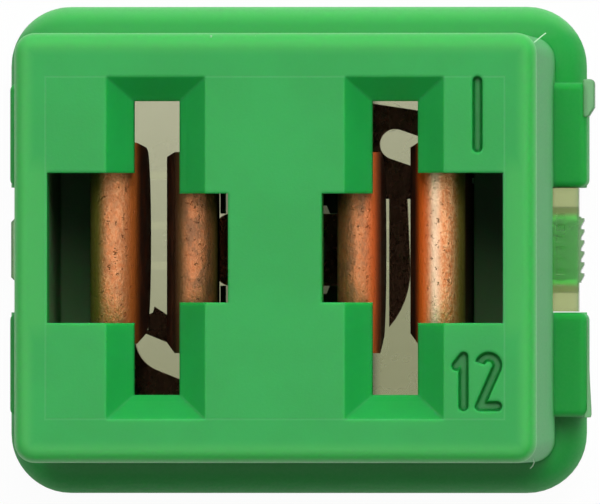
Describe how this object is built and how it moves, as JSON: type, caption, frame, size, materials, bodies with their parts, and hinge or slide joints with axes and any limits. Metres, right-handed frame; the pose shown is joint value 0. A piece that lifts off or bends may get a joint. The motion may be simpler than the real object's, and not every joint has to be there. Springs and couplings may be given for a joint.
{
  "type": "automotive cartridge fuse",
  "caption": "Small rectangular automotive cartridge fuse: green body with blade sockets, flanged clear-window end and a formed copper fuse element inside.",
  "frame": {"origin": "centre of the bounding box at the level of the window end, which the fuse stands on with its sockets up", "axes": "+Z out of the blade sockets; X across the two sockets; Y along the slots; the recessed bar and numerals are on the +X side"},
  "size_m": [0.0145, 0.0122, 0.019],
  "materials": {
    "green_plastic": "satin moulded nylon, evenly coloured green, slightly milky at thin edges",
    "clear_plastic": "clear moulded plastic with a faint yellow-grey tint",
    "copper_alloy": "bare copper alloy strip, streaky and slightly tarnished",
    "tin": "dull tin"
  },
  "bodies": {
    "root": {"housing": "green_plastic", "clear_cover": "clear_plastic", "fuse_element": "copper_alloy", "tin_pill": "tin"}
  },
  "joints": []
}
